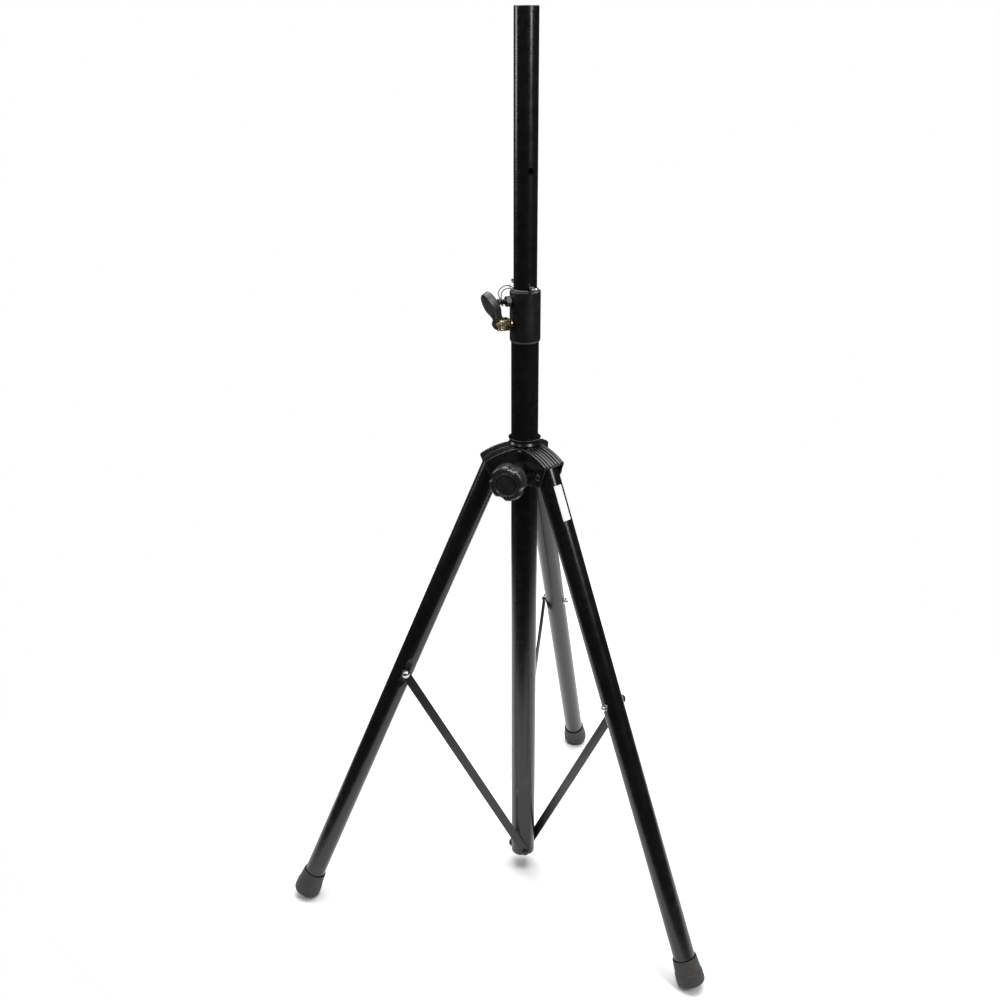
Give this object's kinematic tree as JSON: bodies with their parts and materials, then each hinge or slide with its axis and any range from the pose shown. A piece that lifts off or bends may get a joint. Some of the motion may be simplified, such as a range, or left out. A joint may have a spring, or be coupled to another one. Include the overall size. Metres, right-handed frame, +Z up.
{
  "type": "loudspeaker tripod stand",
  "caption": "Folding tripod stand for a loudspeaker: telescopic tube mast with cam clamp and safety pin, sliding hub with hand knob, round legs on rubber feet, flat struts.",
  "frame": {"origin": "on the floor, on the mast's axis", "axes": "+Z up the mast, +Y towards the rear leg, the hub knob faces -Y"},
  "size_m": [0.725, 0.6341, 1.446],
  "materials": {
    "tube_black": "satin powder coat",
    "strut_black": "satin powder coat",
    "collar_black": "fine matt powder coat",
    "moulded_black": "moulded, satin",
    "knob_black": "moulded, soft gloss",
    "foot_rubber": "matt",
    "nylon_grey": "smooth",
    "bronze_steel": "yellow passivated steel",
    "bright_steel": "bright plated",
    "brass_insert": "turned",
    "dark_steel": "black zinc",
    "wire_dark": "stranded wire",
    "label_white": "printed film, plain"
  },
  "bodies": {
    "column": {"column_tube": "tube_black", "column_plug": "moulded_black", "strut_pivot_bolts": "dark_steel", "clamp_collar": "collar_black", "collar_bush": "nylon_grey", "lever_yoke": "bronze_steel", "lever_pin": "bright_steel", "collar_screw": "dark_steel", "collar_nut": "dark_steel", "lanyard_outer": "wire_dark", "lanyard_inner": "wire_dark"},
    "mast": {"mast_tube": "tube_black", "mast_cap": "moulded_black", "mast_guide": "nylon_grey"},
    "safety_pin": {"safety_pin": "bright_steel", "split_ring": "bright_steel"},
    "cam_lever": {"cam_lever": "knob_black"},
    "plunger": {"clamp_plunger": "bright_steel", "plunger_pad": "nylon_grey"},
    "hub": {"hub_casting": "moulded_black", "hub_liner": "nylon_grey", "hub_ring": "moulded_black", "knob_insert": "brass_insert", "hinge_bolts": "dark_steel", "hinge_nuts": "dark_steel"},
    "clamp_shoe": {"clamp_shoe": "nylon_grey"},
    "hub_knob": {"hub_knob": "knob_black", "knob_cap": "knob_black", "knob_stud": "bright_steel"},
    "leg_1": {"leg_tube_1": "tube_black", "leg_plug_1": "moulded_black", "leg_foot_1": "foot_rubber", "leg_bolt_1": "bright_steel", "leg_nut_1": "bright_steel"},
    "strut_1": {"strut_1": "strut_black", "strut_rivet_1": "bright_steel"},
    "leg_2": {"leg_tube_2": "tube_black", "leg_plug_2": "moulded_black", "leg_foot_2": "foot_rubber", "leg_bolt_2": "bright_steel", "leg_nut_2": "bright_steel"},
    "strut_2": {"strut_2": "strut_black", "strut_rivet_2": "bright_steel"},
    "leg_3": {"leg_tube_3": "tube_black", "leg_plug_3": "moulded_black", "leg_foot_3": "foot_rubber", "leg_bolt_3": "bright_steel", "leg_nut_3": "bright_steel", "leg_label": "label_white"},
    "strut_3": {"strut_3": "strut_black", "strut_rivet_3": "bright_steel"}
  },
  "joints": [
    {"name": "mast_slide", "type": "slide", "parent": "column", "child": "mast", "axis": [0, 0, 1], "range_m": [0, 0.33]},
    {"name": "pin_pull", "type": "slide", "parent": "mast", "child": "safety_pin", "axis": [-0.6691, 0.7431, 0], "range_m": [0, 0.065]},
    {"name": "lever_throw", "type": "hinge", "parent": "column", "child": "cam_lever", "pos_m": [-0.03217, -0.027, 1.014], "axis": [0.6428, -0.766, 0], "range_deg": [0, 100]},
    {"name": "plunger_slide", "type": "slide", "parent": "column", "child": "plunger", "axis": [-0.766, -0.6428, 0], "range_m": [0, 0.0012]},
    {"name": "hub_slide", "type": "slide", "parent": "column", "child": "hub", "axis": [0, 0, 1], "range_m": [0, 0.0774]},
    {"name": "shoe_slide", "type": "slide", "parent": "hub", "child": "clamp_shoe", "axis": [0, -1, 0], "range_m": [0, 0.00225]},
    {"name": "knob_turn", "type": "hinge", "parent": "clamp_shoe", "child": "hub_knob", "pos_m": [0, -0.08, 0.78841], "axis": [0, -1, 0], "range_deg": [0, 540]},
    {"name": "leg_fold_1", "type": "hinge", "parent": "hub", "child": "leg_1", "pos_m": [0, 0.053, 0.78441], "axis": [-1, 0, 0], "range_deg": [0, 23.8]},
    {"name": "strut_fold_1", "type": "hinge", "parent": "column", "child": "strut_1", "pos_m": [0, 0, 0.0365], "axis": [-1, 0, 0], "range_deg": [-20.08, 0]},
    {"name": "leg_fold_2", "type": "hinge", "parent": "hub", "child": "leg_2", "pos_m": [-0.0459, -0.0265, 0.78441], "axis": [0.5, -0.866, 0], "range_deg": [0, 23.8]},
    {"name": "strut_fold_2", "type": "hinge", "parent": "column", "child": "strut_2", "pos_m": [0, 0, 0.0365], "axis": [0.5, -0.866, 0], "range_deg": [-20.08, 0]},
    {"name": "leg_fold_3", "type": "hinge", "parent": "hub", "child": "leg_3", "pos_m": [0.0459, -0.0265, 0.78441], "axis": [0.5, 0.866, 0], "range_deg": [0, 23.8]},
    {"name": "strut_fold_3", "type": "hinge", "parent": "column", "child": "strut_3", "pos_m": [0, 0, 0.0365], "axis": [0.5, 0.866, 0], "range_deg": [-20.08, 0]}
  ],
  "couplings": [
    {"joint": "lever_throw", "follows": "plunger_slide", "rad_per_m": 1454.4},
    {"joint": "knob_turn", "follows": "shoe_slide", "rad_per_m": 4188.7},
    {"joint": "leg_fold_1", "follows": "hub_slide", "rad_per_m": 5.3648},
    {"joint": "strut_fold_1", "follows": "hub_slide", "rad_per_m": -4.5242},
    {"joint": "leg_fold_2", "follows": "hub_slide", "rad_per_m": 5.3648},
    {"joint": "strut_fold_2", "follows": "hub_slide", "rad_per_m": -4.5242},
    {"joint": "leg_fold_3", "follows": "hub_slide", "rad_per_m": 5.3648},
    {"joint": "strut_fold_3", "follows": "hub_slide", "rad_per_m": -4.5242}
  ]
}
